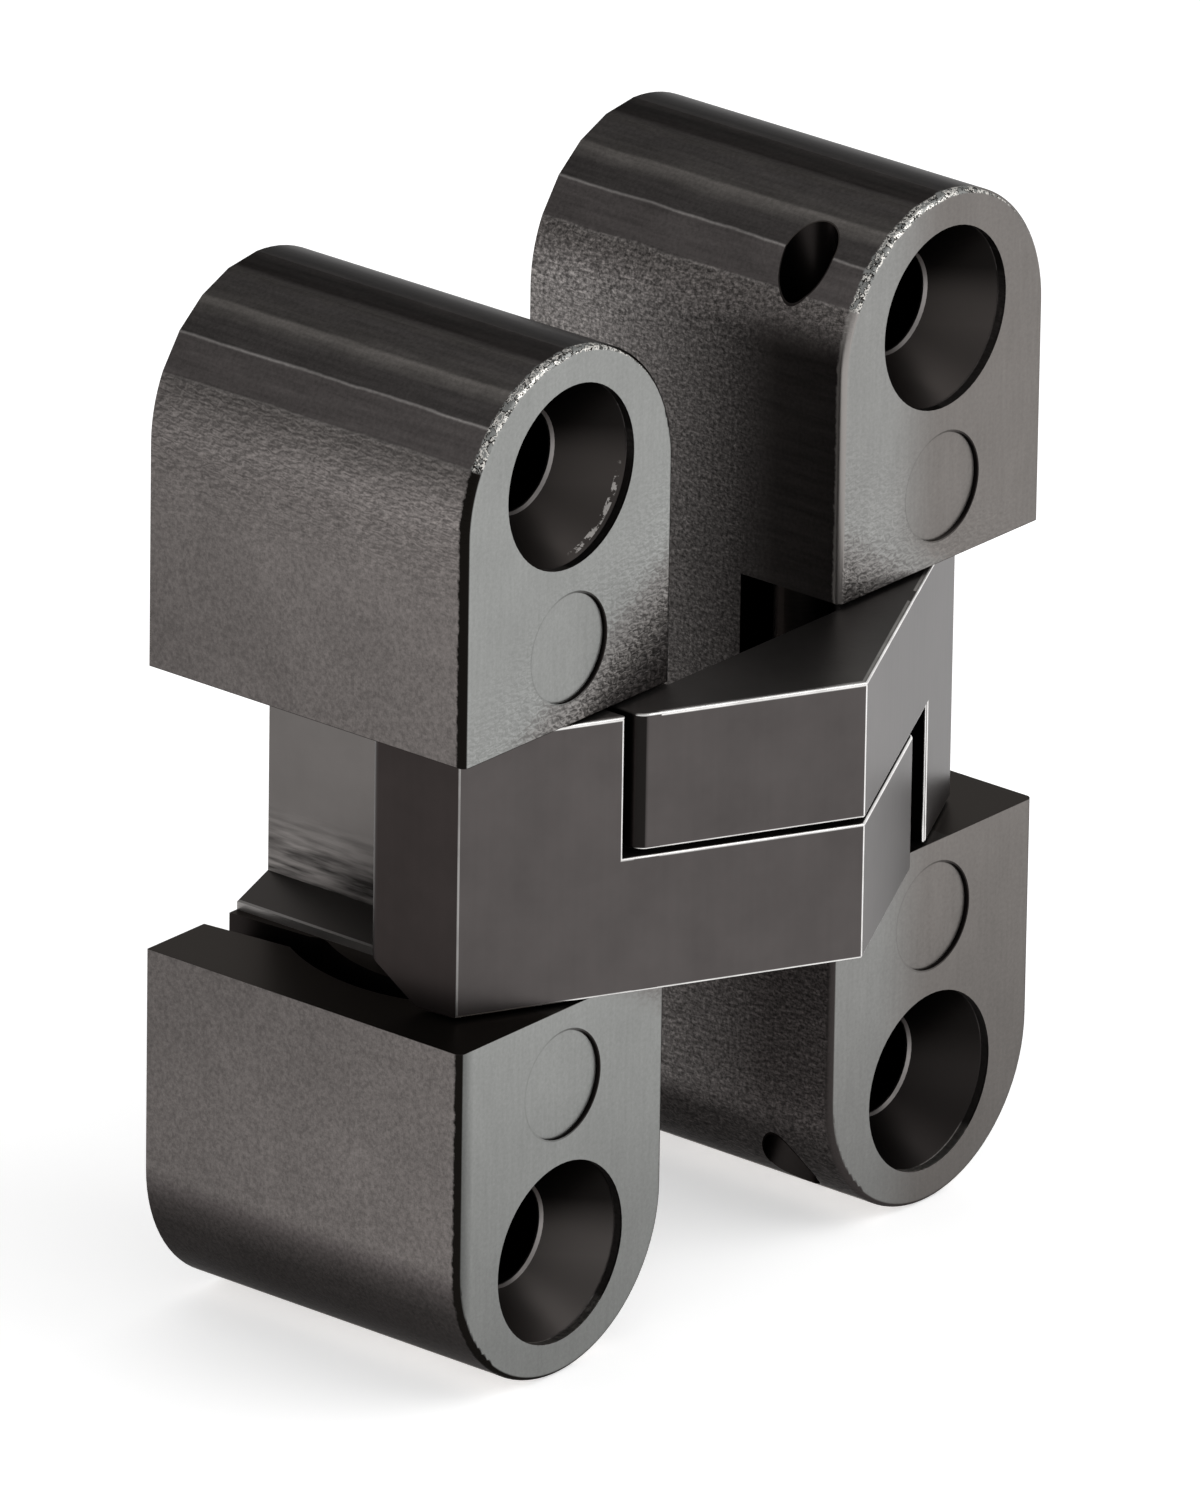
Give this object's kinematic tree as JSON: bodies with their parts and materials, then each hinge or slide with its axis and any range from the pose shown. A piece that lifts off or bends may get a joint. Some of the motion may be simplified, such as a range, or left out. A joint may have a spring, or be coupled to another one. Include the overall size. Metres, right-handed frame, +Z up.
{
  "type": "concealed invisible door hinge",
  "caption": "Small concealed hinge with rounded leaf castings joined by crossing angled links that fold into the leaves, shown fully open.",
  "frame": {"origin": "centre of the bounding box on the floor, with the hinge standing on its lower rounded ends", "axes": "+X from the left leaf to the right leaf, +Y into the door edge away from the leaf faces, +Z up along the pivot pins"},
  "size_m": [0.0368, 0.0227, 0.045],
  "materials": {
    "casting": "cast, dark gunmetal plating",
    "link": "satin, dark gunmetal plating",
    "pin": "ground steel"
  },
  "bodies": {
    "left_leaf": {"left_leaf": "casting", "left_pivot_pin": "pin"},
    "right_link": {"right_link": "link", "right_slide_pin": "pin"},
    "left_link": {"left_link": "link", "left_slide_pin": "pin", "centre_pin": "pin"},
    "right_leaf": {"right_leaf": "casting", "right_pivot_pin": "pin"}
  },
  "joints": [
    {"name": "left_pivot", "type": "hinge", "parent": "left_leaf", "child": "right_link", "pos_m": [-0.00717, -0.00205, 0.0225], "axis": [0, 0, -1], "range_deg": [0, 108.24]},
    {"name": "crossing", "type": "hinge", "parent": "right_link", "child": "left_link", "pos_m": [0, -0.00815, 0.0225], "axis": [0, 0, 1], "range_deg": [0, 36.49]},
    {"name": "right_pivot", "type": "hinge", "parent": "left_link", "child": "right_leaf", "pos_m": [0.00717, -0.00205, 0.0225], "axis": [0, 0, -1], "range_deg": [0, 108.24]}
  ],
  "couplings": [
    {"joint": "crossing", "follows": "left_pivot", "ratio": 0.33708},
    {"joint": "right_pivot", "follows": "left_pivot", "ratio": 1}
  ]
}
